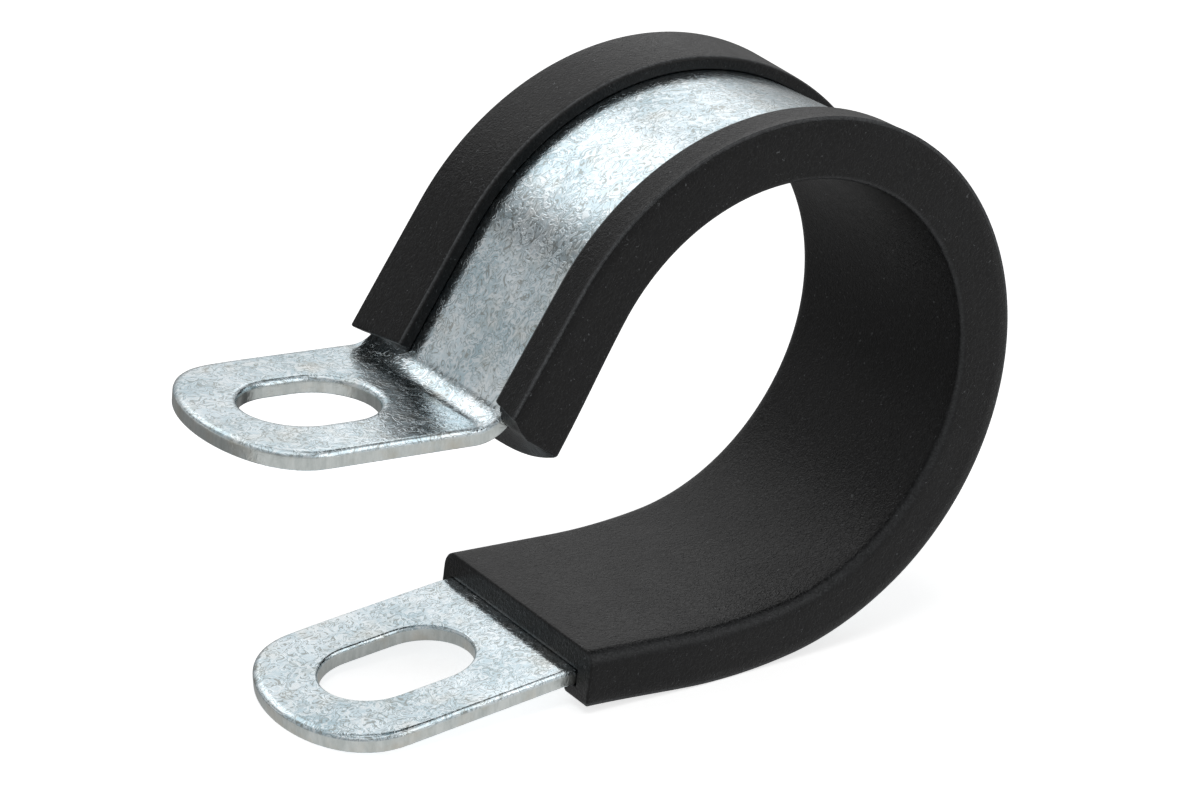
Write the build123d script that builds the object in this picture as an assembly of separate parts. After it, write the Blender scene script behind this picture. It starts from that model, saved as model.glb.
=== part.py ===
from build123d import *
from math import asin, atan2, cos, degrees, pi, radians, sin
import os

# P clip for an M8 bolt: one bent steel band with a slot in each tab, and a rubber
# liner whose lips fold over the band's edges. It lies as it comes to rest, on the
# lower tab's tip and the liner's heel. Lengths in millimetres, angles in degrees.

# Loop and the cable or pipe that it takes
grip_radius = 19.5
liner_slab = 3.0
loop_turn = 230.5

# Steel band
band_width = 20.0
band_thickness = 1.5
edge_round = 0.2

# Strap's route, from the lower tab's tip round the loop to the upper tab's tip
lower_tab_length = 21.7
lower_bend_turn = 8.3
lower_bend_radius = 3.0
lower_leg = 11.4
heel_turn = 10.0
heel_radius = 60.0
upper_leg = 12.1
upper_bend_turn = 61.2
upper_bend_radius = 1.8
upper_tab_length = 20.9

# Tab ends and slots
tab_corner_radius = 7.0
lower_slot_length = 14.0
upper_slot_length = 12.6
slot_width = 9.0
lower_slot_setback = 10.3
upper_slot_setback = 10.8

# Rubber liner's section: its walls stand beside the band's two edges
back_wall = 0.9
front_wall = 2.5
lip_thickness = 1.3
wide_lip = 6.3
narrow_lip = 3.2
outer_round = 1.1
inner_round = 1.0
lip_round = 0.4
band_clearance = 0.1

# Liner's ends: how far each stops short of the bend, and how far the slab lifts off
lower_lip_trim = 0.2
lower_slab_trim = 0.1
upper_lip_trim = 0.5
upper_slab_trim = 0.1
slab_lift = 0.6

# What follows from them
loop_radius = grip_radius + liner_slab + band_thickness / 2
band_inside = band_thickness / 2
band_outside = -band_thickness / 2
lip_outside = band_outside - lip_thickness
pocket_width = band_width + 2 * band_clearance
liner_width = pocket_width + back_wall + front_wall
band_offset = (front_wall - back_wall) / 2
lift_turn = degrees(asin(slab_lift / upper_leg))

# One step of the route is a length and a turn to the left: turn 0 is a straight run
tab_and_bend = [
    (lower_tab_length, 0),
    (lower_bend_radius, -lower_bend_turn),
]
lined_run = [
    (lower_leg, 0),
    (heel_radius, heel_turn),
    (loop_radius, loop_turn),
    (upper_leg, 0),
]
bend_and_tab = [
    (upper_bend_radius, -upper_bend_turn),
    (upper_tab_length, 0),
]


def left_of(heading):
    # Unit vector to the left of a heading, in the XZ plane
    return Vector(-sin(heading), 0, cos(heading))


def ahead(heading):
    return Vector(cos(heading), 0, sin(heading))


def next_place(place, heading, step):
    size, turn = step
    if turn == 0:
        return place + ahead(heading) * size, heading
    side = 1 if turn > 0 else -1
    centre = place + left_of(heading) * size * side
    new_heading = heading + radians(turn)
    return centre - left_of(new_heading) * size * side, new_heading


def heading_before(steps, heading):
    # The heading that a run of steps starts with, from the one it ends with
    return heading - radians(sum(turn for size, turn in steps))


def start_of_route():
    # Place and heading of the lower tab's tip, with the loop's centre at the origin
    steps = tab_and_bend + lined_run[:2]
    heading = heading_before(steps, 0)
    place = Vector(0, 0, 0)
    start_heading = heading
    for step in steps:
        place, heading = next_place(place, heading, step)
    return Vector(0, 0, -loop_radius) - place, start_heading


def rest_turn():
    # Turn about the loop that lets the tab's tip and the liner's heel touch one surface
    place, heading = start_of_route()
    tip = place + left_of(heading) * band_outside
    heel_centre = Vector(0, 0, heel_radius - loop_radius)
    arm = tip - heel_centre
    return -pi + asin((heel_radius - lip_outside) / arm.length) - atan2(arm.Z, arm.X)


def edges_along(place, heading, steps, shift):
    # The route's edges, moved to its left by shift
    edges = []
    for size, turn in steps:
        start = place + left_of(heading) * shift
        half_place, half_heading = next_place(place, heading, (size, turn / 2))
        place, heading = next_place(place, heading, (size, turn))
        end = place + left_of(heading) * shift
        if turn == 0:
            edges.append(Line(start, end))
        else:
            edges.append(ThreePointArc(start, half_place + left_of(half_heading) * shift, end))
    return edges


def ribbon(right_edges, left_edges, width, middle=0):
    # A solid between two runs of edges, as wide as asked along Y
    first_end = Line(left_edges[0] @ 0, right_edges[0] @ 0)
    last_end = Line(right_edges[-1] @ 1, left_edges[-1] @ 1)
    outline = make_face([*right_edges, last_end, *left_edges, first_end])
    return Pos(0, middle, 0) * extrude(outline, width / 2, both=True)


def slot_cutter(place, heading, length):
    tab = Plane(place, x_dir=ahead(heading), z_dir=left_of(heading))
    return extrude(tab * SlotOverall(length, slot_width), band_thickness, both=True)


def is_seam(edge):
    # Lines across the band where a bend meets a flat, and lines through its thickness
    across = abs(edge.length - band_width) < 1e-3 and edge.geom_type == GeomType.LINE
    through = abs(edge.length - band_thickness) < 1e-3 and edge.geom_type == GeomType.LINE
    return across or through


def corners_of_tips(band):
    return [e for e in band.edges() if abs(e.length - band_thickness) < 1e-3]


def steel_band():
    route = tab_and_bend + lined_run + bend_and_tab
    place, heading = start_of_route()
    outside = edges_along(place, heading, route, band_outside)
    inside = edges_along(place, heading, route, band_inside)
    band = ribbon(outside, inside, band_width)
    band = fillet(corners_of_tips(band), tab_corner_radius)
    lower_slot = place + ahead(heading) * (lower_tab_length - lower_slot_setback)
    band -= slot_cutter(lower_slot, heading, lower_slot_length)
    for step in route[:-1]:
        place, heading = next_place(place, heading, step)
    upper_slot = place + ahead(heading) * upper_slot_setback
    band -= slot_cutter(upper_slot, heading, upper_slot_length)
    rims = [e for e in band.edges() if not is_seam(e)]
    return Pos(0, band_offset, 0) * fillet(rims, edge_round)


def liner_edges(steps, shift, lower_trim, upper_trim):
    # Edges of the lined run, shortened at both ends by the trims
    place, heading = start_of_route()
    for step in tab_and_bend:
        place, heading = next_place(place, heading, step)
    first_length = steps[0][0] - lower_trim
    last_length = steps[-1][0] - upper_trim
    shortened = [(first_length, 0), *steps[1:-1], (last_length, 0)]
    return edges_along(place + ahead(heading) * lower_trim, heading, shortened, shift)


def matching(solid, edges, across):
    # The solid's edges that run over the given ones, at a place across the band
    found = []
    for edge in solid.edges():
        centre = edge.center()
        for like in edges:
            wanted = like.center() + Vector(0, across, 0)
            if (centre - wanted).length < 1e-3:
                found.append(edge)
    return found


def rubber_liner():
    lifted_run = [
        *lined_run[:2],
        (loop_radius, loop_turn + lift_turn),
        (upper_leg - loop_radius * radians(lift_turn), 0),
    ]
    side = liner_width / 2
    outer = liner_edges(lined_run, lip_outside, lower_lip_trim, upper_lip_trim)
    inner = liner_edges(lifted_run, band_inside + liner_slab, lower_slab_trim, upper_slab_trim)
    liner = ribbon(outer, inner, liner_width)
    liner = fillet(matching(liner, outer, side) + matching(liner, outer, -side), outer_round)
    liner = fillet(matching(liner, inner, side) + matching(liner, inner, -side), inner_round)
    beyond = -liner_slab
    seat = liner_edges(lined_run, band_outside, beyond, beyond)
    lifted = liner_edges(lifted_run, band_inside, beyond, beyond)
    liner -= ribbon(seat, lifted, pocket_width, band_offset)
    clear = liner_edges(lined_run, lip_outside + beyond, beyond, beyond)
    window_width = liner_width - wide_lip - narrow_lip
    window_middle = (narrow_lip - wide_lip) / 2
    liner -= ribbon(clear, seat, window_width, window_middle)
    lips = matching(liner, outer, side - wide_lip) + matching(liner, outer, narrow_lip - side)
    return fillet(lips, lip_round)


def write_parts():
    os.makedirs("parts", exist_ok=True)
    pieces = {"steel_band": steel_band(), "rubber_liner": rubber_liner()}
    for name, piece in pieces.items():
        resting = piece.rotate(Axis.Y, -degrees(rest_turn()))
        export_step(resting, f"parts/{name}.step")


write_parts()
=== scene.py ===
import math
import bmesh
import bpy
import numpy as np
from mathutils import Matrix, Vector


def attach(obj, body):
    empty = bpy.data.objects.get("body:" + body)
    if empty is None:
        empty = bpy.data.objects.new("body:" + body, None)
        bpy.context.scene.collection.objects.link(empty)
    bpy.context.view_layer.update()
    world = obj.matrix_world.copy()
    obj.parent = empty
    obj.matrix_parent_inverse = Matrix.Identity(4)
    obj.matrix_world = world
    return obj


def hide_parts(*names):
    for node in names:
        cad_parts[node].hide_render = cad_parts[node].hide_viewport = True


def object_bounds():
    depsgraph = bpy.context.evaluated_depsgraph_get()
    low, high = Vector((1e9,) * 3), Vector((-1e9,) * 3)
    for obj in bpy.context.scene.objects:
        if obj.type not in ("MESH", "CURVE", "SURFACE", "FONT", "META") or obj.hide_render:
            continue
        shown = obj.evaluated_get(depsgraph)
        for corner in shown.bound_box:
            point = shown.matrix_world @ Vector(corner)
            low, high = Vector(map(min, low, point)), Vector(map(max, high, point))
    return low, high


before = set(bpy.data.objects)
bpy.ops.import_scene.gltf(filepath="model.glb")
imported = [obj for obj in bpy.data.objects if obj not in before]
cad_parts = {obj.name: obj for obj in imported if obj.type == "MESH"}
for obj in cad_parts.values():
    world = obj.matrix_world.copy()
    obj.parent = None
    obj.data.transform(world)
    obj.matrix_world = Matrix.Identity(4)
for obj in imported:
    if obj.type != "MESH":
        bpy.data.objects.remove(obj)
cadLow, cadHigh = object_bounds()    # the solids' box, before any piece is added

mm = 0.001

# The strap's centreline in the XZ plane, from the lower tab's tip to the upper tab's tip
route = {
    "start": (-41.0657, -24.8233),    # x and z of the lower tip, mm
    "heading": 5.2512,                # degrees up from +X
    "steps": [                        # name, length in mm, turn to the left in degrees
        ("lowerTab", 21.7, 0.0),
        ("lowerBend", 0.4346, -8.3),
        ("lowerLeg", 11.4, 0.0),
        ("heel", 10.472, 10.0),
        ("loop", 93.5344, 230.5),
        ("upperLeg", 11.098, 0.0),
        ("upperBend", 3.7385, -61.2),
        ("upperTab", 19.898, 0.0),
    ],
    "spacing": 0.02,                  # between the places of the table below, mm
}


# The route as one table: the heading is the running sum of the turns, and the place
# is the running sum of short straight steps taken along that heading.
def routeTable():
    lengths = np.array([step[1] for step in route["steps"]])
    turns = np.radians([step[2] for step in route["steps"]])
    ends = np.cumsum(lengths)
    count = int(round(ends[-1] / route["spacing"]))
    along = np.linspace(0, ends[-1], count + 1)
    middles = (along[1:] + along[:-1]) / 2
    which = np.minimum(np.searchsorted(ends, middles), len(ends) - 1)
    ds = along[1] - along[0]
    bend = turns[which] / lengths[which] * ds
    heading = math.radians(route["heading"]) + np.concatenate([[0], np.cumsum(bend)])
    half = (heading[1:] + heading[:-1]) / 2
    x = route["start"][0] + np.concatenate([[0], np.cumsum(np.cos(half) * ds)])
    z = route["start"][1] + np.concatenate([[0], np.cumsum(np.sin(half) * ds)])
    return along, x, z, heading


table = routeTable()
starts = dict(zip([step[0] for step in route["steps"]],
                  np.concatenate([[0], np.cumsum([step[1] for step in route["steps"]])])))
wholeLength = table[0][-1]


# Bends a flat strap onto the route: u runs along it, y across it, n out of it to the
# left. A point is the place at u plus n times the left-hand normal there. Before the
# route's start, and past its end or a given place, it goes straight on.
def bendOnRoute(u, y, n, last=wholeLength):
    along, x, z, heading = table
    held = np.clip(u, 0, last)
    h = np.interp(held, along, heading)
    px = np.interp(held, along, x) + (u - held) * np.cos(h)
    pz = np.interp(held, along, z) + (u - held) * np.sin(h)
    return np.stack([px - np.sin(h) * n, y + 0 * px, pz + np.cos(h) * n], axis=-1) * mm


# Blend between values at knots with a soft S curve between each two
def softly(t, knots, values):
    i = np.clip(np.searchsorted(knots, t) - 1, 0, len(knots) - 2)
    knots, values = np.asarray(knots, float), np.asarray(values, float)
    f = np.clip((t - knots[i]) / (knots[i + 1] - knots[i]), 0, 1)
    return values[i] + (values[i + 1] - values[i]) * f * f * (3 - 2 * f)


# Even steps from a towards b, without b itself
def even(a, b, count):
    return np.linspace(a, b, count + 1)[:-1]


# Quads of a grid of points, row by row; wrap joins the last column to the first
def gridFaces(rows, cols, wrap, first):
    r = np.arange(rows - 1)[:, None]
    c = np.arange(cols if wrap else cols - 1)[None, :]
    d = (c + 1) % cols
    quads = np.stack([r * cols + c, r * cols + d, (r + 1) * cols + d, (r + 1) * cols + c], -1)
    return quads.reshape(-1, 4) + first


# One closed mesh from several grids: their shared borders are welded and the faces
# turned outwards. Each grid is (points, wrap, values of the surface attribute).
def meshFromGrids(name, grids, attribute):
    weldDistance = 2e-6    # metres
    points, faces, values, first = [], [], [], 0
    for grid, wrap, value in grids:
        rows, cols = grid.shape[:2]
        points.append(grid.reshape(-1, 3))
        faces.append(gridFaces(rows, cols, wrap, first))
        values.append(np.broadcast_to(value, (rows, cols)).reshape(-1))
        first += rows * cols
    mesh = bpy.data.meshes.new(name)
    mesh.from_pydata(np.concatenate(points).tolist(), [], np.concatenate(faces).tolist())
    layer = mesh.attributes.new(attribute, "FLOAT", "POINT")
    layer.data.foreach_set("value", np.concatenate(values).astype(np.float32))
    welded = bmesh.new()
    welded.from_mesh(mesh)
    bmesh.ops.remove_doubles(welded, verts=welded.verts, dist=weldDistance)
    bmesh.ops.recalc_face_normals(welded, faces=welded.faces)
    openEdges = [edge for edge in welded.edges if not edge.is_manifold]
    print(name, "vertices", len(welded.verts), "faces", len(welded.faces),
          "open edges", len(openEdges))
    welded.to_mesh(mesh)
    welded.free()
    mesh.shade_smooth()
    piece = bpy.data.objects.new(name, mesh)
    bpy.context.scene.collection.objects.link(piece)
    return piece


steel = {                        # the bent band, mm
    "width": 20.0,
    "thickness": 1.5,
    "middles": (0.8, 1.2),       # its middle across the clip, at the lower and the upper tab
    "widths": (20.1, 20.3),      # its width there
    "tipTaper": 0.9,             # 1 is a half ellipse, less is squarer
    # The punched rims' roll-overs, each as inset and drop
    "sideRoll": (0.32, 0.55),    # on the straight sides
    "tipRoll": (0.75, 0.42),     # round the tips
    "underRim": (0.12, 0.12),    # on the other face
    "rollBlend": (2.5, 10.0),    # from the route's end, where the tip's turns into the sides'
    # Tabs, measured from the route's end
    "tabs": {
        "lower": {
            "past": 0.6,                  # how far the tip reaches past the route's end
            "depth": 7.2,                 # how deep the rounded tip is
            "slot": (11.4, 14.1, 9.2),    # its middle, length and width
            "slotRoll": (0.3, 0.4),
        },
        "upper": {
            "past": 0.25,
            "depth": 6.6,
            "slot": (10.2, 12.0, 9.45),
            "slotRoll": (0.5, 0.5),
        },
    },
    "root": 0.7,                 # how far the band's middle stretch runs into each tab
    "firstRow": 0.3,             # the row of faces next to each rim
    # Numbers of faces: across, down a tab's side, round its tip, and along the route's steps
    "across": 24,
    "tabSide": 12,
    "tabTip": 44,
    "along": {"lowerBend": 6, "lowerLeg": 10, "heel": 12, "loop": 130,
              "upperLeg": 14, "upperBend": 32},
    # Numbers of rows on a rim: the roll-over, the sheared wall and the other rim
    "rimRows": (10, 3, 5),
}


# Across the band: v is -10 to 10, and the band is a little wider and further back at
# the upper tab
def acrossBand(u, v):
    share = softly(u, [starts["loop"], starts["upperBend"]], [0, 1])
    width = steel["widths"][0] + (steel["widths"][1] - steel["widths"][0]) * share
    middle = steel["middles"][0] + (steel["middles"][1] - steel["middles"][0]) * share
    return v * width / steel["width"] + middle


# The blank's outline on one tab with its inward normals: down one side from the root,
# round the tip as a squared half ellipse, and back up the other side. u is 0 where the
# route ends and grows towards the root.
def tabOutline(root, tab):
    side, half = steel["tabSide"], steel["width"] / 2
    turn = np.linspace(math.pi / 2, -math.pi / 2, steel["tabTip"] + 1)
    nearness = np.clip(np.cos(turn), 0, 1) ** steel["tipTaper"]
    depth = tab["depth"] * (1 - nearness) - tab["past"]
    straight = even(root, depth[0], side)
    u = np.concatenate([straight, depth, straight[::-1]])
    y = np.concatenate([np.full(side, half), half * np.sin(turn), np.full(side, -half)])
    du, dy = np.gradient(u), np.gradient(y)
    step = np.hypot(du, dy)
    return u, y, -dy / step, du / step


# The slot's outline at its nearest point to each point of the tab's outline, so both
# carry the same number of points: radius plus an inset, about a short middle line.
def slotOutline(slot, inset, u, y):
    middle, length, width = slot
    reach = (length - width) / 2
    cu = np.clip(u, middle - reach, middle + reach)
    away = np.hypot(u - cu, y)
    r = width / 2 + inset
    return cu + (u - cu) / away * r, y / away * r


# The sheared look starts in the last quarter of a roll-over: 0 up to there, 1 at the wall
def shearedFrom(angle):
    return np.clip(angle / (math.pi / 2) * 4 - 3, 0, 1)


# The rim's section as rows of inset and height: a quarter ellipse of the roll-over, as far
# in and down as asked, a straight sheared wall, and a quarter ellipse at the other face.
def rimSection(upper, lower):
    upperIn, upperDrop, lowerIn, lowerDrop = (np.atleast_1d(part) for part in (*upper, *lower))
    half = steel["thickness"] / 2
    rollRows, wallRows, otherRows = steel["rimRows"]
    a = np.linspace(0, math.pi / 2, rollRows)[:, None]
    b = np.linspace(math.pi / 2, 0, otherRows)[:, None]
    f = np.linspace(0, 1, wallRows + 2)[1:-1, None]
    wall = (half - upperDrop) * (1 - f) + (lowerDrop - half) * f
    inset = np.concatenate([upperIn * (1 - np.sin(a)), 0 * wall, lowerIn * (1 - np.sin(b))])
    height = np.concatenate([half - upperDrop * (1 - np.cos(a)), wall,
                             lowerDrop * (1 - np.cos(b)) - half])
    cut = np.concatenate([shearedFrom(a) + 0 * upperIn, 1 + 0 * wall,
                          shearedFrom(b) + 0 * lowerIn])
    return inset, height, cut


# Both measures of a roll-over at once, part of the way from one to another
def blendRoll(share, start, end):
    return tuple(a + (b - a) * share for a, b in zip(start, end))


# The stretch between the tabs: its two faces, and its two long edges as rims carried
# along the route. The roll-over changes from one face to the other on the way.
def stretchGrids(stations):
    half, wide = steel["thickness"] / 2, steel["width"] / 2
    share = softly(stations, [starts["heel"], starts["upperLeg"]], [0, 1])
    plus = blendRoll(share, steel["sideRoll"], steel["underRim"])
    minus = blendRoll(share, steel["underRim"], steel["sideRoll"])
    grids = []
    for inset, n in ((plus[0], half), (minus[0], -half)):
        v = np.linspace(1, -1, steel["across"] + 1)[None, :] * (wide - inset[:, None])
        u = np.broadcast_to(stations[:, None], v.shape)
        grids.append((bendOnRoute(u, acrossBand(u, v), np.full(v.shape, n)), False, 0.0))
    inset, height, cut = (part.T for part in rimSection(plus, minus))
    u = np.broadcast_to(stations[:, None], inset.shape)
    for side in (1, -1):
        across = acrossBand(u, side * (wide - inset))
        grids.append((bendOnRoute(u, across, height), False, cut))
    return grids


# One tab: the face between the slot and the outline, straight from one to the other, on
# both sides of the band, then the outline's rim and the slot's rim. The upper tab is
# flipped: it is measured back from the route's end and rolled over on the other face.
def tabGrids(tab, root, flip):
    half, wide = steel["thickness"] / 2, steel["width"] / 2
    outU, outY, inU, inY = tabOutline(root, tab)
    tipShare = softly(outU, steel["rollBlend"], [1, 0])
    roll = blendRoll(tipShare, steel["sideRoll"], steel["tipRoll"])
    under = blendRoll(0 * outU, steel["underRim"], steel["underRim"])
    rims, slotRims = (roll, under), (tab["slotRoll"], steel["underRim"])
    if flip:
        rims, slotRims = rims[::-1], slotRims[::-1]

    def place(u, y, n):
        along = wholeLength - u if flip else u
        return bendOnRoute(along, acrossBand(along, y), np.broadcast_to(n, u.shape))

    # The root line, from -y back to +y, closes the ring round the slot
    def ring(inset):
        line = np.linspace(-1, 1, steel["across"] + 1)[1:-1] * (wide - inset[0])
        return (np.concatenate([outU + inU * inset, np.full(len(line), root)]),
                np.concatenate([outY + inY * inset, line]))

    grids = []
    ringU, ringY = ring(0 * outU)
    for n, (inset, _), (slotInset, _) in zip((half, -half), rims, slotRims):
        faceU, faceY = ring(inset)
        slotU, slotY = slotOutline(tab["slot"], slotInset, ringU, ringY)
        near = steel["firstRow"] / np.hypot(faceU - slotU, faceY - slotY)
        rows = np.stack([0 * near, near, *(0 * near + share for share in (0.25, 0.5, 0.75)),
                         1 - near, 0 * near + 1])
        grids.append((place(slotU + (faceU - slotU) * rows,
                            slotY + (faceY - slotY) * rows, n), True, 0.0))
    inset, height, cut = rimSection(*rims)
    grids.append((place(outU + inU * inset, outY + inY * inset, height), False, cut))
    inset, height, cut = rimSection(*slotRims)
    u, y = slotOutline(tab["slot"], inset, ringU, ringY)
    grids.append((place(u, y, height), True, cut))
    return grids


# The stretch between the tabs and the two tabs as one mesh. The stretch's stations divide
# each step of the route evenly, and are close together where the band bends.
def makeBand():
    lowerRoot = starts["lowerBend"] - steel["root"]
    upperRoot = wholeLength - starts["upperTab"] - steel["root"]
    rootRows = 3
    names = list(starts)
    stations = np.concatenate([
        np.linspace(lowerRoot, starts["lowerBend"], rootRows)[:-1],
        *(even(starts[name], starts[following], steel["along"][name])
          for name, following in zip(names[1:-1], names[2:])),
        np.linspace(starts["upperTab"], wholeLength - upperRoot, rootRows),
    ])
    grids = stretchGrids(stations)
    grids += tabGrids(steel["tabs"]["lower"], lowerRoot, False)
    grids += tabGrids(steel["tabs"]["upper"], upperRoot, True)
    return meshFromGrids("steelBand", grids, "cut")


rubber = {                           # the C section round the band, mm
    "from": 23.2, "to": 149.34,      # along the route
    "side": 11.8,                    # the lips' widths are measured from here, each side
    "wideLip": 6.3,                  # at the back
    "narrowLip": 3.2,                # at the front
    # What changes along the liner: shares of its length, and the values there
    "changes": {
        "back": ([0, 0.12, 0.3, 0.7, 1], [12.4, 11.95, 11.85, 12.2, 12.4]),    # its y
        "front": ([0, 0.1], [-11.25, -11.8]),
        "slab": ([0, 0.14, 0.34, 0.8, 1], [2.15, 2.35, 2.85, 3.0, 3.2]),       # thickness
        "lift": ([0.90, 1.02], [0.0, 0.6]),                # of the slab off the band
        "backLip": ([0.25, 0.45], [1.25, 1.6]),            # thickness at its outer side
        "backLipEdge": ([0.25, 0.45], [1.25, 1.2]),        # and at its edge
        "frontLip": ([0, 0.12, 0.25, 0.5, 0.7], [1.15, 1.2, 0.85, 0.85, 1.0]),
        "frontLipExtra": ([0, 0.1], [0.9, 0.0]),           # on top of its width
        "innerBack": ([0, 0.1], [1.5, 1.4]),               # roundings towards the bore
        "innerFront": ([0, 0.1, 0.3, 0.45], [1.2, 1.1, 0.9, 0.5]),
    },
    # Roundings
    "backCorner": 0.22,
    "frontCorner": 0.3,
    "pocketCorner": 0.12,
    "endRound": 0.16,
    "lipRound": 0.26,
    "lipInner": (0.5, 0.1),          # the inner rounding's reach and inset, as shares of that
    "lipRows": (1.0, 0.75, 0.4),     # how far the edge and the rows beside it are pulled in
    # The pocket's play: over the band's face, beside its edges and under its outer face
    "slabPlay": 0.02, "wallPlay": 0.08, "lipPlay": 0.06,
    # The flash line on the front corner: height, place round the corner and half width
    "flash": (0.07, 0.75, 0.16),
    "groove": (0.12, 0.3, 0.18),     # and the groove beside it
    # Painted highlight and wear, a lighter grey on the edges: the back lip's edge, the four
    # corners, the front lip's edge
    "wearAndHighlight": (0.9, 0.7, 0.2, 0.35, 1.0, 0.5),
    # The upper end, how far it is cut past its place: at the start and what that changes by,
    # over a lip from its outer side to its edge, or up a wall from its foot to the slab
    "frontLipEnd": (-0.42, -0.5),
    "backLipEnd": (0.4, -0.9),
    "wallEnd": (-0.42, 1.0),
    "wallFoot": -2.0,                # n of a wall's foot
    "lipZone": (-0.6, 0.5),          # n where the lips begin, and how soon they are whole
    "slabEnd": 0.08,                 # how far the slab is squeezed out past the walls
    "bulge": 1.75,                   # how far it swells out in the middle
    "upperFade": 5.0,                # how far along the liner this fades out
    "lowerSlant": -0.2,              # how far the lower end's foot stops short of its top
    "slantFoot": 2.05,               # how far below the band's middle that foot is
    "lowerFade": 4.0,
    # Numbers of stations, of steps round an end, and of points through the wall
    "stations": 220,
    "endSteps": 5,
    "layers": 9,
}

# The section's straight runs, as shares of each, finer beside the lips' edges: back lip,
# back wall, slab, front wall and front lip. Then the steps round the corners between them.
sectionRuns = [
    np.concatenate([[0, 0.025], np.linspace(0.07, 1, 8)]),
    np.linspace(0, 1, 6),
    np.linspace(0, 1, 31),
    np.linspace(0, 1, 6),
    np.concatenate([np.linspace(0, 0.86, 5), [0.95, 1]]),
]
cornerSteps = [6, 7, 7, 14]


# A corner of a section rounded to an exact arc: a rational quadratic curve between the
# two points one tangent length away, weighted by the cosine of half the turn.
def roundCorner(before, corner, after, radius, count):
    a = before - corner
    b = after - corner
    la = np.linalg.norm(a, axis=-1, keepdims=True)
    lb = np.linalg.norm(b, axis=-1, keepdims=True)
    a, b = a / la, b / lb
    halfOpen = np.arccos(np.clip(np.sum(a * b, -1, keepdims=True), -1, 1)) / 2
    tangent = radius / np.tan(halfOpen)
    weight = np.sin(halfOpen)
    t = np.linspace(0, 1, count + 1)[:, None, None]
    top = (1 - t) ** 2 * (corner + a * tangent) + 2 * weight * t * (1 - t) * corner \
        + t ** 2 * (corner + b * tangent)
    return top / ((1 - t) ** 2 + 2 * weight * t * (1 - t) + t ** 2)


# One side of the C's wall: straight runs between rounded corners. The painted highlight and
# wear rises to its mark in the middle of a corner, as a squared sine, and at the lips' two edges.
def wallSide(points, radii, marks):
    arcs = [roundCorner(*points[c:c + 3], radii[c], steps) for c, steps in enumerate(cornerSteps)]
    runStarts = [points[0]] + [arc[-1] for arc in arcs]
    runEnds = [arc[0] for arc in arcs] + [points[-1]]
    rows, wearAndHighlight = [points[0][None]], [[marks[0]]]
    for c, shares in enumerate(sectionRuns):
        rows.append(runStarts[c] + (runEnds[c] - runStarts[c]) * shares[1:, None, None])
        wearAndHighlight.append(np.zeros(len(shares) - 1))
        if c < len(arcs):
            turn = np.linspace(0, math.pi, cornerSteps[c] + 1)[1:]
            rows.append(arcs[c][1:])
            wearAndHighlight.append(marks[c + 1] * np.sin(turn) ** 2)
    wearAndHighlight[-1][-1] = marks[-1]
    return np.concatenate(rows), np.concatenate(wearAndHighlight)


# The section's corners outside and inside the pocket, from the back lip's edge round to
# the front lip's, each as y and n at every station. The ends' rounding shrinks the section.
def sectionCorners(k, size, shrink):
    half, wide = steel["thickness"] / 2, steel["width"] / 2

    def at(y, n):
        return np.stack([y + 0 * k, n + 0 * k], axis=-1)

    back, front = size["back"] - shrink, size["front"] + shrink
    backEdge = rubber["side"] - rubber["wideLip"] + shrink
    frontEdge = -rubber["side"] + rubber["narrowLip"] + size["frontLipExtra"] - shrink
    outer = [
        at(backEdge, -half - size["backLipEdge"] + shrink),
        at(back, -half - size["backLip"] + shrink),
        at(back, size["top"]),
        at(front, size["top"]),
        at(front, -half - size["frontLip"] + shrink),
        at(frontEdge, -half - size["frontLip"] + shrink),
    ]
    lipIn = -(half + rubber["lipPlay"])
    under = half + size["lift"] + rubber["slabPlay"]
    wallBack = acrossBand(k, wide) + rubber["wallPlay"] + shrink
    wallFront = acrossBand(k, -wide) - rubber["wallPlay"] - shrink
    inner = [at(backEdge, lipIn), at(wallBack, lipIn), at(wallBack, under),
             at(wallFront, under), at(wallFront, lipIn), at(frontEdge, lipIn)]
    return outer, inner


# A flash line along the front outer corner: a small ridge and a groove beside it, both
# bell curves round the corner, moved out along its diagonal.
def addFlash(outside, ease):
    diagonal = 0.7071
    steps = cornerSteps[-1]
    last = sum(len(shares) - 1 for shares in sectionRuns[:-1]) + sum(cornerSteps)
    s = np.linspace(0, 1, steps + 1)
    ridge, groove = (height * np.exp(-((s - place) / width) ** 2)
                     for height, place, width in (rubber["flash"], rubber["groove"]))
    raised = (ridge - groove)[:, None] * (1 - ease)
    outside[last - steps:last + 1] -= raised[..., None] * diagonal


# The lips' edges are rounded: their points pull in along y near the two faces, as a
# quarter circle does, and the rows beside the edge follow.
def roundLips(block, backLip, frontLip):
    r = rubber["lipRound"]
    reach, inset = rubber["lipInner"]
    for row, lip, sign in ((0, backLip, 1), (-1, frontLip, -1)):
        depth = np.linspace(0, 1, rubber["layers"])[:, None] * lip[None, :]
        outerEase = np.clip(1 - depth / r, 0, 1)
        innerEase = np.clip(1 - (lip - depth) / (reach * r), 0, 1)
        pull = r * (1 - np.sqrt(1 - outerEase ** 2)) \
            + inset * r * (1 - np.sqrt(1 - innerEase ** 2))
        for step, part in enumerate(rubber["lipRows"]):
            block[:, row + sign * step, :, 0] += sign * pull * part


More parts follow.
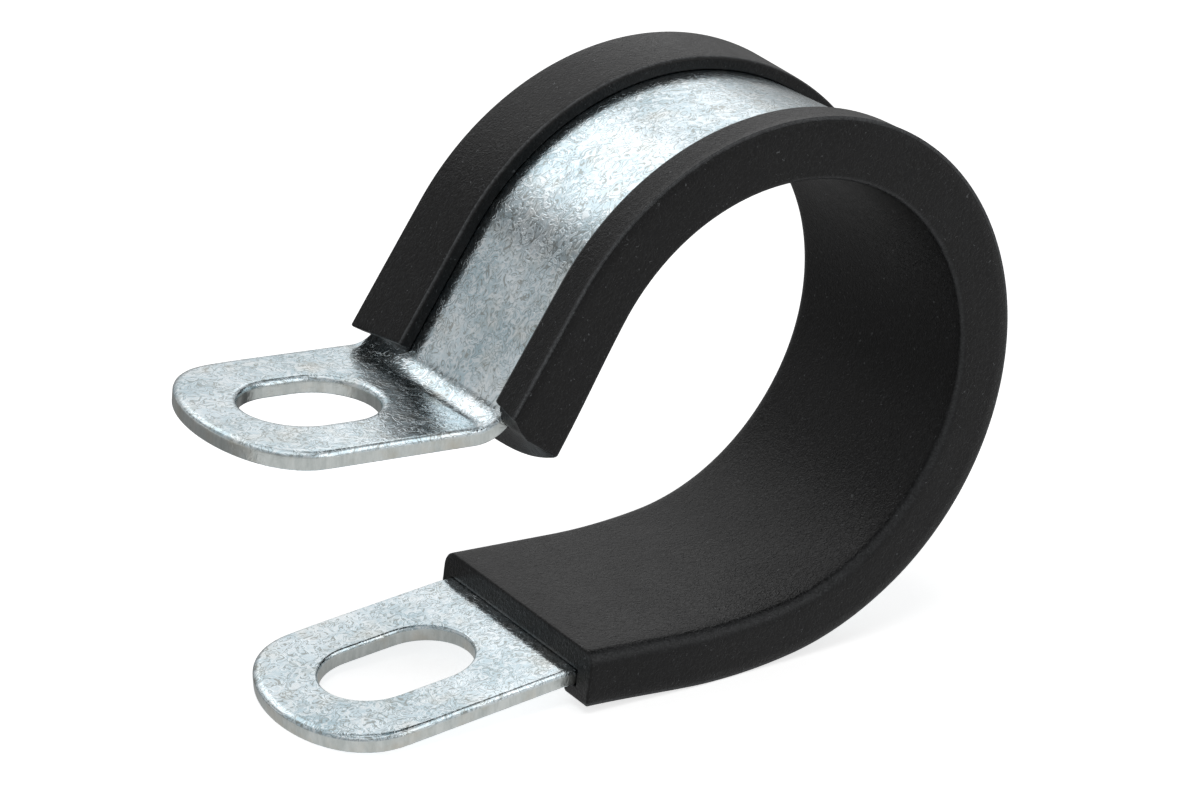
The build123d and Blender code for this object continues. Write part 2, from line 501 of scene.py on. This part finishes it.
# How far each point moves along the route at the liner's cut ends. At the upper end the
# slab is squeezed out past the walls and lips, by the bulge in its middle, which falls off
# with the fourth power across and rises a little faster than the height in the slab. The
# lower end slants evenly. Both fade out as the square of the nearness to the end.
def endPush(k, y, n, size):
    def partly(ends, share):
        return ends[0] + ends[1] * share

    half = steel["thickness"] / 2
    back, front = size["back"], size["front"]
    slabShare = np.clip((n - half - size["lift"]) / size["slab"], 0, 1)
    lipShare = np.clip((rubber["lipZone"][0] - n) / rubber["lipZone"][1], 0, 1)
    wallShare = np.clip((n - rubber["wallFoot"]) / (half - rubber["wallFoot"]), 0, 1)
    across = np.clip((y - front) / (back - front) * 2 - 1, -1, 1)
    fromFront = np.clip((y - front) / rubber["narrowLip"], 0, 1)
    fromBack = np.clip((back - y) / rubber["wideLip"], 0, 1)
    lipEnd = np.where(across < 0, partly(rubber["frontLipEnd"], fromFront),
                      partly(rubber["backLipEnd"], fromBack))
    slabEnd = partly(rubber["wallEnd"], wallShare) + rubber["slabEnd"] * slabShare
    upper = lipShare * lipEnd + (1 - lipShare) * slabEnd
    upper = upper + rubber["bulge"] * (1 - np.abs(across) ** 4) * slabShare ** 1.3
    top, foot = size["top"], rubber["slantFoot"]
    lower = rubber["lowerSlant"] * np.clip((top - n) / (top + foot), 0, 1)
    nearUpper = np.clip(1 - (rubber["to"] - k) / rubber["upperFade"], 0, 1) ** 2
    nearLower = np.clip(1 - (k - rubber["from"]) / rubber["lowerFade"], 0, 1) ** 2
    return upper * nearUpper + lower * nearLower


# The liner is one block bent into a C: i runs round the section from the back lip's edge
# to the front lip's edge, j goes through the wall from outside to inside the pocket, and
# k runs along the strap. Its skin is the block's six faces.
def makeLiner():
    low, high, endRound = rubber["from"], rubber["to"], rubber["endRound"]
    quarter = endRound * (1 - np.cos(np.linspace(0, math.pi / 2, rubber["endSteps"])))
    k = np.concatenate([
        low + quarter[:-1],
        np.linspace(low + endRound, high - endRound, rubber["stations"]),
        high - quarter[::-1][1:],
    ])
    ease = np.clip(1 - np.minimum(k - low, high - k) / endRound, 0, 1)
    shrink = endRound * (1 - np.sqrt(np.clip(1 - ease ** 2, 0, 1)))
    share = (k - low) / (high - low)
    size = {name: softly(share, *change) for name, change in rubber["changes"].items()}
    size["top"] = steel["thickness"] / 2 + size["lift"] + size["slab"] - shrink

    outer, inner = sectionCorners(k, size, shrink)
    radii = [rubber["backCorner"], size["innerBack"][:, None], size["innerFront"][:, None],
             rubber["frontCorner"]]
    outside, wearAndHighlight = wallSide(outer, radii, rubber["wearAndHighlight"])
    inside, _ = wallSide(inner, [rubber["pocketCorner"]] * 4, [0] * 6)
    addFlash(outside, ease)

    layers = rubber["layers"]
    through = np.linspace(0, 1, layers)[:, None, None, None]
    block = outside[None] + (inside - outside)[None] * through    # j, i, k, (y, n)
    roundLips(block, inner[0][:, 1] - outer[0][:, 1], inner[5][:, 1] - outer[5][:, 1])
    y, n = block[..., 0], block[..., 1]
    points = bendOnRoute(k + endPush(k, y, n, size), y, n, last=starts["upperBend"])

    outermost = np.eye(layers)[:, :1]    # 1 on the outside, so shared borders carry one value
    # The edge attribute carries the corners' painted highlight and wear
    faces = [(points[0], wearAndHighlight[:, None]), (points[-1], 0.0),
             (points[:, 0], outermost * wearAndHighlight[0]), (points[:, -1], outermost * wearAndHighlight[-1]),
             (points[:, :, 0], outermost * wearAndHighlight), (points[:, :, -1], outermost * wearAndHighlight)]
    return meshFromGrids("rubberLiner", [(face, False, mark) for face, mark in faces], "edge")


# An sRGB hex colour as the linear values that Blender takes, by the sRGB curve: straight
# near black, and a power of 2.4 above that
def linear(hexColour):
    parts = [int(hexColour[i:i + 2], 16) / 255 for i in (1, 3, 5)]
    return [p / 12.92 if p <= 0.04045 else ((p + 0.055) / 1.055) ** 2.4 for p in parts] + [1.0]


# Adds one node: its settings by name, and its inputs as values or as links. An input is
# named, or called i and its number where several share a name.
def addNode(tree, kind, settings=None, **inputs):
    node = tree.nodes.new(kind)
    for key, value in (settings or {}).items():
        setattr(node, key, value)
    for key, value in inputs.items():
        numbered = key[0] == "i" and key[1:].isdigit()
        socket = node.inputs[int(key[1:]) if numbered else key.replace("_", " ")]
        if isinstance(value, bpy.types.NodeSocket):
            tree.links.new(value, socket)
        else:
            socket.default_value = value
    return node


def newMaterial(name):
    material = bpy.data.materials.new(name)
    material.use_nodes = True
    material.node_tree.nodes.clear()
    return material, material.node_tree


zinc = {
    # Sizes of the patterns, mm. The crystals come from a noise of 1.05 mm folded into
    # bands about 0.2 mm wide, a little coarser than the real ones, so that they show.
    "clouds": 6.0, "tint": 3.0, "crystals": 1.05, "gaps": 0.8, "swell": 1.6, "scores": 0.8,
    "folds": 19.0,
    # Depths of the relief, mm
    "swellDepth": 0.005, "crystalDepth": 0.0085, "scoreDepth": 0.015,
    # Colours of the dark and bright clouds, the warm ones, the painted highlight on the crystals'
    # tops and the painted shade in the hollows between them
    "dark": "#aec4cd", "bright": "#e1edf3", "warm": "#d4d2c9",
    "crystalHighlight": "#f2f5f6", "hollowShade": "#8f8f88",
    # Colours of the sheared walls
    "darkWall": "#bdc4c2", "brightWall": "#dde2e0", "warmWall": "#c9c2b3",
    "darkRoughness": 0.24, "brightRoughness": 0.16, "wallRoughness": 0.32,
}


# Zinc-plated mild steel, bright dipped. The eye gets a pale blue-grey metal in cloudy
# patches some millimetres across, a relief of short worm-like crystals that breaks up its
# reflections, a painted highlight on the crystals' tops, painted shade in a slightly warm
# grey in the hollows between them, and warmer sheared walls with fine scores straight
# through the thickness. W picks another noise of the same kind.
def zincPlatedSteel():
    material, tree = newMaterial("zinc-plated steel")
    place = addNode(tree, "ShaderNodeTexCoord").outputs["Object"]
    clouds = addNode(tree, "ShaderNodeTexNoise", Vector=place, Scale=1 / (zinc["clouds"] * mm),
                     Detail=5.0, Roughness=0.62).outputs["Fac"]
    tint = addNode(tree, "ShaderNodeTexNoise", {"noise_dimensions": "4D"}, Vector=place, W=3.0,
                   Scale=1 / (zinc["tint"] * mm), Detail=4.0, Roughness=0.6).outputs["Fac"]
    cut = addNode(tree, "ShaderNodeAttribute", {"attribute_name": "cut"}).outputs["Fac"]

    # Crystals: a fine noise is folded into narrow bands, and another noise breaks them up
    cells = addNode(tree, "ShaderNodeTexNoise", Vector=place, Scale=1 / (zinc["crystals"] * mm),
                    Detail=1.0, Roughness=0.5, Distortion=1.8).outputs["Fac"]
    folded = addNode(tree, "ShaderNodeMath", {"operation": "MULTIPLY"},
                     i0=cells, i1=zinc["folds"])
    waves = addNode(tree, "ShaderNodeMath", {"operation": "SINE"}, i0=folded.outputs[0])
    worms = addNode(tree, "ShaderNodeMapRange", {"interpolation_type": "SMOOTHSTEP"},
                    Value=waves.outputs[0], From_Min=-0.3, From_Max=1.0)
    gaps = addNode(tree, "ShaderNodeTexNoise", {"noise_dimensions": "4D"}, Vector=place, W=7.0,
                   Scale=1 / (zinc["gaps"] * mm), Detail=1.0).outputs["Fac"]
    broken = addNode(tree, "ShaderNodeMapRange", Value=gaps, From_Min=0.3, From_Max=0.52)
    relief = addNode(tree, "ShaderNodeMath", {"operation": "MULTIPLY"},
                     i0=worms.outputs[0], i1=broken.outputs[0]).outputs[0]
    swell = addNode(tree, "ShaderNodeTexNoise", {"noise_dimensions": "4D"}, Vector=place, W=11.0,
                    Scale=1 / (zinc["swell"] * mm), Detail=2.0, Roughness=0.5).outputs["Fac"]
    # Painted shade: a slightly warm grey in the troughs of the folded bands, between the crystals
    hollowShadeShare = addNode(tree, "ShaderNodeMapRange", {"interpolation_type": "SMOOTHSTEP"},
                   Value=waves.outputs[0], From_Min=-0.75, From_Max=-1.0, To_Max=0.7)

    # Scores on the sheared walls: a noise drawn out along Z
    drawn = addNode(tree, "ShaderNodeMapping", Vector=place, Scale=(1.0, 1.0, 0.3))
    scores = addNode(tree, "ShaderNodeTexNoise", Vector=drawn.outputs[0],
                     Scale=1 / (zinc["scores"] * mm), Detail=5.0, Roughness=0.7).outputs["Fac"]

    # Colour: clouds, warm patches, a painted highlight on the crystals' tops and painted shade
    # in the hollows between them on the faces, and scores on the walls
    tone = addNode(tree, "ShaderNodeValToRGB", i0=clouds)
    tone.color_ramp.elements[0].position = 0.32
    tone.color_ramp.elements[0].color = linear(zinc["dark"])
    tone.color_ramp.elements[1].position = 0.68
    tone.color_ramp.elements[1].color = linear(zinc["bright"])
    warmth = addNode(tree, "ShaderNodeMapRange", Value=tint, From_Min=0.5, From_Max=0.75,
                     To_Max=0.7).outputs[0]
    warm = addNode(tree, "ShaderNodeMix", {"data_type": "RGBA"}, i0=warmth,
                   i6=tone.outputs[0], i7=linear(zinc["warm"]))
    # Painted highlight: the crystals' raised tops are coloured lighter, following the relief
    lit = addNode(tree, "ShaderNodeMath", {"operation": "MULTIPLY"}, i0=relief, i1=0.55)
    raised = addNode(tree, "ShaderNodeMix", {"data_type": "RGBA"}, i0=lit.outputs[0],
                     i6=warm.outputs[2], i7=linear(zinc["crystalHighlight"]))
    withHollowShade = addNode(tree, "ShaderNodeMix", {"data_type": "RGBA"}, i0=hollowShadeShare.outputs[0],
                     i6=raised.outputs[2], i7=linear(zinc["hollowShade"]))
    walls = addNode(tree, "ShaderNodeValToRGB", i0=scores)
    walls.color_ramp.elements[0].position = 0.3
    walls.color_ramp.elements[0].color = linear(zinc["darkWall"])
    walls.color_ramp.elements[1].position = 0.65
    walls.color_ramp.elements[1].color = linear(zinc["brightWall"])
    sheared = addNode(tree, "ShaderNodeMix", {"data_type": "RGBA"}, i0=warmth,
                      i6=walls.outputs[0], i7=linear(zinc["warmWall"]))
    colour = addNode(tree, "ShaderNodeMix", {"data_type": "RGBA"}, i0=cut,
                     i6=withHollowShade.outputs[2], i7=sheared.outputs[2])

    # Gloss and relief
    gloss = addNode(tree, "ShaderNodeMapRange", Value=clouds, From_Min=0.3, From_Max=0.7,
                    To_Min=zinc["darkRoughness"], To_Max=zinc["brightRoughness"])
    roughness = addNode(tree, "ShaderNodeMix", {"data_type": "FLOAT"}, i0=cut,
                        i2=gloss.outputs[0], i3=zinc["wallRoughness"])
    flowing = addNode(tree, "ShaderNodeBump", Strength=1.0, Height=swell,
                      Distance=zinc["swellDepth"] * mm)
    crystalline = addNode(tree, "ShaderNodeBump", Strength=1.0, Height=relief,
                          Distance=zinc["crystalDepth"] * mm, Normal=flowing.outputs[0])
    scored = addNode(tree, "ShaderNodeMath", {"operation": "MULTIPLY"}, i0=scores, i1=cut)
    bump = addNode(tree, "ShaderNodeBump", Strength=1.0, Height=scored.outputs[0],
                   Distance=zinc["scoreDepth"] * mm, Normal=crystalline.outputs[0])
    shader = addNode(tree, "ShaderNodeBsdfPrincipled", Base_Color=colour.outputs[2],
                     Roughness=roughness.outputs[0], Metallic=1.0, Normal=bump.outputs[0])
    addNode(tree, "ShaderNodeOutputMaterial", Surface=shader.outputs[0])
    return material


epdm = {
    # Sizes of the patterns, mm. Real dust is finer than 0.26 mm: it is drawn so coarse
    # that it shows.
    "grain": 0.4, "bloom": 5.0, "dust": 0.26,
    "grainDepth": 0.07,              # mm
    # The last colour, a mid grey, is the painted highlight and wear on the corners
    "dark": "#0a0a0b", "light": "#131314", "fleck": "#242526", "wearAndHighlightGrey": "#6c6e70",
    "darkRoughness": 0.27, "lightRoughness": 0.36,
    "specular": 0.22,
}


# Extruded EPDM rubber. The eye gets a charcoal black with a soft satin sheen, a fine
# leathery grain, pale specks of dust and bloom, and thin grey lines on its corners, which are
# painted highlight and wear.
def extrudedEpdm():
    material, tree = newMaterial("extruded EPDM rubber")
    place = addNode(tree, "ShaderNodeTexCoord").outputs["Object"]
    grain = addNode(tree, "ShaderNodeTexNoise", Vector=place, Scale=1 / (epdm["grain"] * mm),
                    Detail=2.0, Roughness=0.6, Distortion=1.6).outputs["Fac"]
    bloom = addNode(tree, "ShaderNodeTexNoise", Vector=place, Scale=1 / (epdm["bloom"] * mm),
                    Detail=4.0, Roughness=0.6).outputs["Fac"]
    dust = addNode(tree, "ShaderNodeTexNoise", {"noise_dimensions": "4D"}, Vector=place, W=5.0,
                   Scale=1 / (epdm["dust"] * mm), Detail=1.0, Distortion=0.8).outputs["Fac"]
    specks = addNode(tree, "ShaderNodeMapRange", Value=dust, From_Min=0.68, From_Max=0.82)
    edge = addNode(tree, "ShaderNodeAttribute", {"attribute_name": "edge"}).outputs["Fac"]
    # Painted highlight and wear: the corners and lips' edges turn grey, broken up by the grain
    brokenEdgeLine = addNode(tree, "ShaderNodeMapRange", Value=grain, From_Min=0.3, From_Max=0.7,
                     To_Min=0.35)
    edgeWearAndHighlight = addNode(tree, "ShaderNodeMath", {"operation": "MULTIPLY"},
                   i0=edge, i1=brokenEdgeLine.outputs[0])
    marks = addNode(tree, "ShaderNodeMath", {"operation": "MAXIMUM"},
                    i0=specks.outputs[0], i1=edgeWearAndHighlight.outputs[0])
    black = addNode(tree, "ShaderNodeValToRGB", i0=bloom)
    black.color_ramp.elements[0].position = 0.35
    black.color_ramp.elements[0].color = linear(epdm["dark"])
    black.color_ramp.elements[1].position = 0.7
    black.color_ramp.elements[1].color = linear(epdm["light"])
    flecks = addNode(tree, "ShaderNodeMapRange", Value=grain, From_Min=0.5, From_Max=0.75)
    leathery = addNode(tree, "ShaderNodeMix", {"data_type": "RGBA"}, i0=flecks.outputs[0],
                       i6=black.outputs[0], i7=linear(epdm["fleck"]))
    colour = addNode(tree, "ShaderNodeMix", {"data_type": "RGBA"}, i0=marks.outputs[0],
                     i6=leathery.outputs[2], i7=linear(epdm["wearAndHighlightGrey"]))
    gloss = addNode(tree, "ShaderNodeMapRange", Value=bloom, From_Min=0.3, From_Max=0.7,
                    To_Min=epdm["darkRoughness"], To_Max=epdm["lightRoughness"])
    bump = addNode(tree, "ShaderNodeBump", Strength=1.0, Height=grain,
                   Distance=epdm["grainDepth"] * mm)
    shader = addNode(tree, "ShaderNodeBsdfPrincipled", Base_Color=colour.outputs[2],
                     Roughness=gloss.outputs[0], Specular_IOR_Level=epdm["specular"],
                     Normal=bump.outputs[0])
    addNode(tree, "ShaderNodeOutputMaterial", Surface=shader.outputs[0])
    return material


paper = {
    "side": 6.0,                     # metres
    "colour": "#f4f4f4",
    "glow": 0.72,                    # what the camera sees on top of the lit paper
    # In reflections: brightness in front of the clip and behind it, and the y in metres
    # between which it changes
    "mirrored": (0.74, 0.26),
    "between": (-0.011, 0.016),
}


# White paper floor: white to the camera with the clip's soft shadow, and in reflections
# bright in front of the clip and dimmer behind it
def whiteFloor():
    material, tree = newMaterial("white paper floor")
    lit = addNode(tree, "ShaderNodeBsdfDiffuse", Color=linear(paper["colour"]))
    path = addNode(tree, "ShaderNodeLightPath").outputs
    seen = addNode(tree, "ShaderNodeMath", {"operation": "MULTIPLY"},
                   i0=path["Is Camera Ray"], i1=paper["glow"])
    glow = addNode(tree, "ShaderNodeEmission", Color=linear("#ffffff"), Strength=seen.outputs[0])
    both = addNode(tree, "ShaderNodeAddShader", i0=lit.outputs[0], i1=glow.outputs[0])
    place = addNode(tree, "ShaderNodeTexCoord").outputs["Object"]
    back = addNode(tree, "ShaderNodeSeparateXYZ", i0=place).outputs["Y"]
    level = addNode(tree, "ShaderNodeMapRange", {"interpolation_type": "SMOOTHSTEP"}, Value=back,
                    From_Min=paper["between"][0], From_Max=paper["between"][1],
                    To_Min=paper["mirrored"][0], To_Max=paper["mirrored"][1])
    mirrored = addNode(tree, "ShaderNodeEmission", Color=linear("#ffffff"),
                       Strength=level.outputs[0])
    surface = addNode(tree, "ShaderNodeMixShader", Fac=path["Is Glossy Ray"],
                      i1=both.outputs[0], i2=mirrored.outputs[0])
    addNode(tree, "ShaderNodeOutputMaterial", Surface=surface.outputs[0])
    return material


def makeFloor():
    half, z = paper["side"] / 2, cadLow[2]
    corners = [(-half, -half, z), (half, -half, z), (half, half, z), (-half, half, z)]
    mesh = bpy.data.meshes.new("floor")
    mesh.from_pydata(corners, [], [(0, 1, 2, 3)])
    floor = bpy.data.objects.new("floor", mesh)
    floor.data.materials.append(whiteFloor())
    bpy.context.scene.collection.objects.link(floor)


# Soft boxes: place and aim in mm, width and height in mm, glow where 1 is white. The
# overhead one isn't mirrored, or metal seen from above would clip to white.
lamps = {
    "overhead": {"place": (-60, -20, 450), "aim": (0, 0, 0), "size": (300, 300),
                 "glow": 2.0, "mirrored": False},
    "rearBox": {"place": (-40, 330, 280), "aim": (0, 0, 0), "size": (220, 150),
                "glow": 0.5, "mirrored": True},
    "topStrip": {"place": (51, 92, 80), "aim": (-3, 0, 25), "size": (52, 52),
                 "glow": 0.35, "mirrored": True},
    "leftFill": {"place": (-350, -300, 150), "aim": (0, 0, 0), "size": (250, 250),
                 "glow": 0.22, "mirrored": True},
}


# A lamp's power is its glow times pi times its area
def makeLamps():
    for name, lamp in lamps.items():
        light = bpy.data.lights.new(name, "AREA")
        light.shape = "RECTANGLE"
        light.size, light.size_y = (side * mm for side in lamp["size"])
        light.energy = lamp["glow"] * math.pi * light.size * light.size_y
        holder = bpy.data.objects.new(name, light)
        place = Vector(lamp["place"]) * mm
        away = place - Vector(lamp["aim"]) * mm
        turned = away.to_track_quat("Z", "Y").to_matrix().to_4x4()
        holder.matrix_world = Matrix.Translation(place) @ turned
        holder.visible_camera = False
        holder.visible_glossy = lamp["mirrored"]
        bpy.context.scene.collection.objects.link(holder)


# The studio round the clip: its strength as light, and what it shows in reflections besides
# the lamps. A patch has a direction, the angles in degrees where it is full and where it
# ends, and what it adds to the plain brightness.
studio = {
    "light": 0.3,
    "plain": 0.52,
    "patches": [
        {"towards": (-0.12, 0.78, 0.61), "full": 7, "ends": 23, "adds": 0.55},
        {"towards": (-0.44, 0.78, 0.44), "full": 2, "ends": 9, "adds": -0.36},
        {"towards": (-0.62, 0.75, 0.22), "full": 4, "ends": 11, "adds": 0.14},
        {"towards": (0.42, 0.77, 0.48), "full": 7, "ends": 26, "adds": 0.45},
        {"towards": (0.53, -0.7, 0.48), "full": 15, "ends": 27, "adds": 1.0},
        {"towards": (0.53, 0.25, 0.81), "full": 6, "ends": 16, "adds": -0.4},
        {"towards": (-0.75, -0.5, 0.4), "full": 8, "ends": 24, "adds": -0.3},
        {"towards": (-0.05, 0.1, 0.99), "full": 14, "ends": 36, "adds": 0.62},
    ],
}


# White to the camera, plain grey as light, and the studio's soft patches in reflections
def makeWorld():
    world = bpy.data.worlds.new("studio")
    world.use_nodes = True
    tree = world.node_tree
    tree.nodes.clear()
    direction = addNode(tree, "ShaderNodeTexCoord").outputs["Generated"]
    level = studio["plain"]
    for patch in studio["patches"]:
        near = addNode(tree, "ShaderNodeVectorMath", {"operation": "DOT_PRODUCT"}, i0=direction,
                       i1=Vector(patch["towards"]).normalized())
        soft = addNode(tree, "ShaderNodeMapRange", {"interpolation_type": "SMOOTHSTEP"},
                       Value=near.outputs["Value"], To_Max=patch["adds"],
                       From_Min=math.cos(math.radians(patch["ends"])),
                       From_Max=math.cos(math.radians(patch["full"])))
        level = addNode(tree, "ShaderNodeMath", {"operation": "ADD"}, i0=soft.outputs[0],
                        i1=level).outputs[0]
    path = addNode(tree, "ShaderNodeLightPath").outputs
    around, mirrored, white = (
        addNode(tree, "ShaderNodeBackground", Color=linear("#ffffff"), Strength=strength)
        for strength in (studio["light"], level, 1.0))
    glossy = addNode(tree, "ShaderNodeMixShader", Fac=path["Is Glossy Ray"],
                     i1=around.outputs[0], i2=mirrored.outputs[0])
    seen = addNode(tree, "ShaderNodeMixShader", Fac=path["Is Camera Ray"],
                   i1=glossy.outputs[0], i2=white.outputs[0])
    addNode(tree, "ShaderNodeOutputWorld", Surface=seen.outputs[0])
    bpy.context.scene.world = world


camera = {
    "azimuth": -35.099, "elevation": 23.404, "roll": 2.779,    # degrees
    "target": (-10.449, 0.0, -2.315),    # mm
    "distance": 289.83,                  # mm
    "lens": 101.41, "sensor": 36,        # mm
    "clip": (0.01, 20),                  # metres
}


# The camera's axes from its azimuth, elevation and roll, and its place at the given
# distance behind the target
def makeCamera():
    a, e, r = (math.radians(camera[name]) for name in ("azimuth", "elevation", "roll"))
    back = Vector((math.sin(a) * math.cos(e), -math.cos(a) * math.cos(e), math.sin(e)))
    right = Vector((math.cos(a), math.sin(a), 0))
    up = back.cross(right)
    turnedRight = math.cos(r) * right + math.sin(r) * up
    turnedUp = math.cos(r) * up - math.sin(r) * right
    place = Vector(camera["target"]) * mm + back * camera["distance"] * mm
    data = bpy.data.cameras.new("camera")
    data.sensor_width = camera["sensor"]
    data.lens = camera["lens"]
    data.clip_start, data.clip_end = camera["clip"]
    holder = bpy.data.objects.new("camera", data)
    axes = Matrix((turnedRight, turnedUp, back)).transposed().to_4x4()
    holder.matrix_world = Matrix.Translation(place) @ axes
    bpy.context.scene.collection.objects.link(holder)
    bpy.context.scene.camera = holder


band = makeBand()
band.data.materials.append(zincPlatedSteel())
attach(band, "root")
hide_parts("steel_band")
print("steel band made")

liner = makeLiner()
liner.data.materials.append(extrudedEpdm())
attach(liner, "root")
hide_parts("rubber_liner")
print("rubber liner made")

makeFloor()
makeLamps()
makeWorld()
makeCamera()
bpy.context.scene.view_settings.view_transform = "Standard"
print("floor, lamps and camera set")
